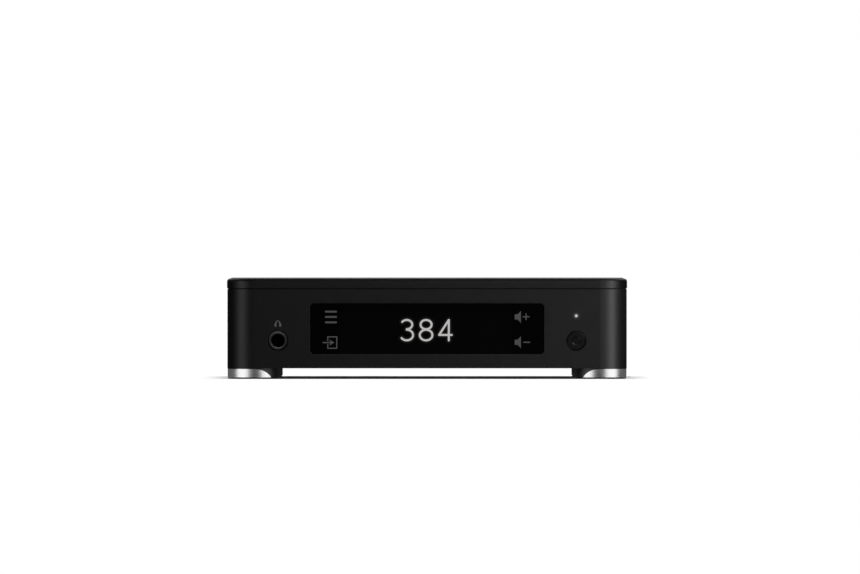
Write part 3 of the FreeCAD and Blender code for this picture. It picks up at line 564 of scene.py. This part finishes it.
def floor_light(name, floor, energy, spread, shadow):
    """Light from straight above that whitens the floor and nothing else."""
    data = bpy.data.lights.new(name, "SUN")
    data.energy = energy
    data.angle = math.radians(spread)
    data.use_shadow = shadow
    light = bpy.data.objects.new(name, data)
    scene.collection.objects.link(light)
    light_only(light, [floor])


def make_world():
    """White where the camera looks past the object, and nearly black to everything else."""
    world = bpy.data.worlds.new("studio")
    world.use_nodes = True
    nodes, links = world.node_tree.nodes, world.node_tree.links
    dim = nodes["Background"]
    dim.inputs["Color"].default_value = (0.0015, 0.0015, 0.0015, 1)
    bright = nodes.new("ShaderNodeBackground")
    bright.inputs["Color"].default_value = (1, 1, 1, 1)
    path = nodes.new("ShaderNodeLightPath")
    mix = nodes.new("ShaderNodeMixShader")
    links.new(path.outputs["Is Camera Ray"], mix.inputs["Fac"])
    links.new(dim.outputs["Background"], mix.inputs[1])
    links.new(bright.outputs["Background"], mix.inputs[2])
    links.new(mix.outputs["Shader"], nodes["World Output"].inputs["Surface"])
    scene.world = world


def make_camera():
    """Far off and nearly level, a little higher than the object."""
    distance = 12.5
    rise = 0.041
    view_width = 0.4294
    aim = Vector((0.00146, FRONT_Y, 0.0459))
    data = bpy.data.cameras.new("camera")
    data.sensor_width = 36.0
    data.lens = data.sensor_width * distance / view_width
    data.clip_end = 60.0
    camera = bpy.data.objects.new("camera", data)
    camera.location = aim + Vector((0, -distance, rise))
    camera.rotation_mode = "QUATERNION"
    camera.rotation_quaternion = (camera.location - aim).to_track_quat("Z", "Y")
    scene.collection.objects.link(camera)
    scene.camera = camera


def light_object():
    """Soft lights round the object, each for the pieces that it should shape."""
    nodes = frame["nodes"]
    cover, chassis = nodes["cover"], nodes["chassis"]
    socket, cap = [nodes["jack_bushing"]], [nodes["power_cap"]]
    feet = [node for name, node in nodes.items() if name.startswith("foot_")]
    upper = [node for node in nodes.values() if node not in feet] + shown
    everything = feet + upper
    below_cover = [node for node in upper if node != cover]
    body = [node for node in upper if node not in socket + cap]
    unglazed = [node for node in body if node not in display_pieces + [nodes["display_glass"]]]
    rear_names = ("rear_", "rca_", "optical_", "data_", "power_inlet", "inlet_")
    rear = [node for name, node in nodes.items() if name.startswith(rear_names)]
    lights = (
        # name, pieces, azimuth, elevation, distance, width, height, radiance
        ("feet_left", feet, -52, 5, 1.4, 1.35, 1.3, 1.45),
        ("feet_right", feet, 52, 5, 1.4, 1.35, 1.3, 1.45),
        ("feet_front", feet, 0, 5, 1.5, 0.8, 0.6, 0.05),
        ("feet_far_left", feet, -125, 5, 1.5, 1.5, 1.0, 0.11),
        ("feet_far_right", feet, 125, 5, 1.5, 1.5, 1.0, 0.11),
        ("body_left", body, -54, 5, 1.4, 0.75, 1.0, 1.1),
        ("body_right", body, 50, 5, 0.7, 0.22, 0.6, 3.8),
        ("body_front", unglazed, 18, 8, 0.7, 0.2, 0.2, 1.7),
        ("bounce_left", body, -45, -24, 1.2, 1.2, 0.5, 0.13),
        ("bounce_right", body, 45, -24, 1.2, 1.2, 0.5, 0.13),
        ("edge_key", [chassis] + cap, 80, 42, 1.4, 0.7, 0.7, 3.0),
        ("cover_edge", [cover], 35, 42, 1.3, 0.8, 0.7, 0.7),
        ("overhead", below_cover, 0, 88, 1.5, 1.5, 1.5, 0.9),
        ("cap_front", cap, 14, 6, 0.7, 0.2, 0.2, 0.65),
        ("cap_key", cap, 64, 38, 1.0, 0.35, 0.35, 5.0),
        ("cap_low", cap, -68, -48, 1.0, 0.3, 0.3, 6.0),
        ("socket_dome", socket, 12, 58, 0.8, 2.6, 0.5, 1.1),
        ("socket_front", socket, -10, 3, 0.7, 0.3, 0.3, 0.2),
        ("back_left", everything, -150, 38, 1.5, 1.0, 0.8, 0.7),
        ("back_right", everything, 150, 38, 1.5, 1.0, 0.8, 1.0),
        ("bounce_back_left", everything, -150, -24, 1.2, 1.0, 0.5, 0.35),
        ("bounce_back_right", everything, 150, -24, 1.2, 1.0, 0.5, 0.35),
        ("rear_fill", rear, 180, 12, 0.9, 0.8, 0.5, 1.3),
        ("rear_side", rear, 140, -8, 0.8, 0.5, 0.4, 1.0),
        ("rear_body", [chassis, cover], 180, 12, 0.9, 0.8, 0.5, 0.6),
    )
    for values in lights:
        softbox(*values)


floor = make_floor()
floor_light("floor_light", floor, 3.66, 32, True)
floor_light("floor_fill", floor, 0.05, 0, False)
light_object()
make_world()
make_camera()
scene.view_settings.view_transform = "Standard"
